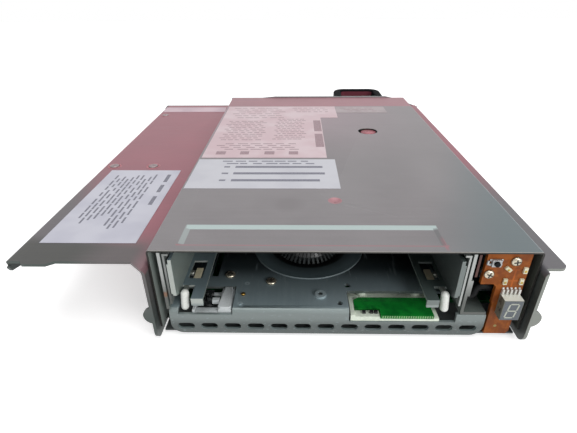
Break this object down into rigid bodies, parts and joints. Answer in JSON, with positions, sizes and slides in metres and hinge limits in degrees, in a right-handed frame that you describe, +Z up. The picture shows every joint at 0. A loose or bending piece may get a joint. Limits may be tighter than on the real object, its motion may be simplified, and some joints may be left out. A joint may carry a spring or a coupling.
{
  "type": "tape drive",
  "caption": "Half-height data tape drive in a steel library sled, lid closed, with open cartridge bay, front status board and rear fan panel.",
  "frame": {"origin": "On the underside of the sled floor, below the middle of the drive box (half of its width and half of its length).", "axes": "+X to the right seen from the cartridge end, +Y from the cartridge opening towards the rear panel, +Z up."},
  "size_m": [0.2166, 0.2642, 0.0439],
  "materials": {
    "sled_steel": "satin plated steel, warm grey",
    "panel_steel": "satin plated steel",
    "cover_steel": "plated steel sheet, satin",
    "deck_steel": "plated steel sheet, brushed",
    "tray_steel": "stamped steel, satin",
    "screw_steel": "bright zinc",
    "motor_steel": "turned steel",
    "roller_alloy": "fine turned",
    "knob_metal": "nickel plated",
    "port_metal": "tin plated",
    "brass": "turned brass",
    "black_gloss": "glossy moulded",
    "black_plastic": "fine matt moulded",
    "chuck_plastic": "glass-filled, satin",
    "white_plastic": "smooth moulded acetal",
    "cream_plastic": "smooth moulded",
    "clear_plastic": "clear moulded light pipe",
    "green_board": "solder mask",
    "orange_board": "solder mask over copper",
    "display_grey": "moulded display face"
  },
  "bodies": {
    "drive_frame": {"sled_tray": "sled_steel", "sled_side_screws": "screw_steel", "wing_rivets": "screw_steel", "rear_housing_cover": "sled_steel", "rear_panel": "panel_steel", "pull_handle": "black_gloss", "handle_screws": "screw_steel", "fan_frame": "black_plastic", "interposer_board": "green_board", "data_ports": "port_metal", "light_pipes": "clear_plastic", "drive_connector": "black_plastic", "top_cover": "cover_steel", "bottom_pan": "cover_steel", "base_chassis": "deck_steel", "deck_screws": "screw_steel", "bay_wall_left": "deck_steel", "bay_wall_right": "deck_steel", "loader_bracket": "deck_steel", "loader_motor": "motor_steel", "supply_motor": "motor_steel", "takeup_motor": "motor_steel", "roller_posts": "screw_steel", "head_base": "black_plastic", "main_board": "green_board", "board_pillars": "screw_steel", "board_chips": "black_plastic", "front_panel_board": "orange_board", "panel_bracket": "deck_steel", "panel_board_screws": "screw_steel", "switch_body": "port_metal", "display_module": "display_grey", "panel_lamps": "cream_plastic", "panel_cable": "black_plastic", "reader_board": "green_board", "reader_frame": "cream_plastic", "sensor_bracket": "white_plastic"},
    "eject_button": {"eject_button": "black_plastic"},
    "supply_chuck": {"supply_chuck": "chuck_plastic"},
    "takeup_reel": {"takeup_reel": "black_plastic"},
    "fan_rotor": {"fan_rotor": "black_plastic"},
    "thumbscrew_left": {"thumbscrew_left": "knob_metal"},
    "thumbscrew_right": {"thumbscrew_right": "knob_metal"},
    "guide_roller_1": {"guide_roller_1": "roller_alloy"},
    "guide_roller_2": {"guide_roller_2": "roller_alloy"},
    "guide_roller_3": {"guide_roller_3": "roller_alloy"},
    "guide_roller_4": {"guide_roller_4": "roller_alloy"},
    "tape_head": {"tape_head": "roller_alloy"},
    "cam_slide": {"cam_plate_left": "deck_steel", "cam_plate_right": "deck_steel", "cam_link": "deck_steel"},
    "cartridge_tray": {"tray_side_left": "tray_steel", "tray_side_right": "tray_steel", "tray_bridge": "tray_steel", "tray_pins": "screw_steel", "ledge_pads": "cream_plastic", "guide_shoes": "white_plastic"},
    "loader_gear": {"loader_gear": "white_plastic"},
    "loader_pinion": {"loader_pinion": "brass"},
    "sensor_lever": {"sensor_lever": "black_plastic"}
  },
  "joints": [
    {"name": "eject_press", "type": "slide", "parent": "drive_frame", "child": "eject_button", "axis": [0, 1, 0], "range_m": [0, 0.0003], "stiffness_N_per_m": 400},
    {"name": "supply_spin", "type": "hinge", "parent": "drive_frame", "child": "supply_chuck", "pos_m": [-0.0115, -0.0555, 0.014], "axis": [0, 0, 1], "continuous": true},
    {"name": "takeup_spin", "type": "hinge", "parent": "drive_frame", "child": "takeup_reel", "pos_m": [-0.014, 0.042, 0.02305], "axis": [0, 0, 1], "continuous": true},
    {"name": "fan_spin", "type": "hinge", "parent": "drive_frame", "child": "fan_rotor", "pos_m": [-0.044, 0.12, 0.0215], "axis": [0, 1, 0], "continuous": true},
    {"name": "left_screw_turn", "type": "hinge", "parent": "drive_frame", "child": "thumbscrew_left", "pos_m": [-0.1247, 0.1362, 0.024], "axis": [0, -1, 0], "continuous": true},
    {"name": "right_screw_turn", "type": "hinge", "parent": "drive_frame", "child": "thumbscrew_right", "pos_m": [0.0803, 0.1362, 0.024], "axis": [0, -1, 0], "continuous": true},
    {"name": "roller_1_spin", "type": "hinge", "parent": "drive_frame", "child": "guide_roller_1", "pos_m": [0.039, 0.009, 0.02305], "axis": [0, 0, 1], "continuous": true},
    {"name": "roller_2_spin", "type": "hinge", "parent": "drive_frame", "child": "guide_roller_2", "pos_m": [0.0565, 0.019, 0.02305], "axis": [0, 0, 1], "continuous": true},
    {"name": "roller_3_spin", "type": "hinge", "parent": "drive_frame", "child": "guide_roller_3", "pos_m": [0.0565, 0.057, 0.02305], "axis": [0, 0, 1], "continuous": true},
    {"name": "roller_4_spin", "type": "hinge", "parent": "drive_frame", "child": "guide_roller_4", "pos_m": [0.037, 0.07, 0.02305], "axis": [0, 0, 1], "continuous": true},
    {"name": "head_index", "type": "slide", "parent": "drive_frame", "child": "tape_head", "axis": [0, 0, 1], "range_m": [-0.003, 0.003]},
    {"name": "cam_travel", "type": "slide", "parent": "drive_frame", "child": "cam_slide", "axis": [0, 1, 0], "range_m": [0, 0.012]},
    {"name": "tray_lower", "type": "slide", "parent": "drive_frame", "child": "cartridge_tray", "axis": [0, 0, -1], "range_m": [0, 0.004]},
    {"name": "loader_gear_turn", "type": "hinge", "parent": "drive_frame", "child": "loader_gear", "pos_m": [-0.05654, 0.014, 0.0235], "axis": [0, 0, 1], "range_deg": [-86, 0]},
    {"name": "loader_motor_turn", "type": "hinge", "parent": "drive_frame", "child": "loader_pinion", "pos_m": [-0.05654, 0.026, 0.0235], "axis": [0, 0, 1], "range_deg": [0, 172]},
    {"name": "lever_press", "type": "hinge", "parent": "drive_frame", "child": "sensor_lever", "pos_m": [-0.053, -0.089, 0.011], "axis": [1, 0, 0], "range_deg": [0, 12], "stiffness_Nm_per_rad": 0.01}
  ],
  "couplings": [
    {"joint": "cam_travel", "follows": "tray_lower", "ratio": 3},
    {"joint": "loader_gear_turn", "follows": "tray_lower", "rad_per_m": -375},
    {"joint": "loader_motor_turn", "follows": "tray_lower", "rad_per_m": 750}
  ]
}
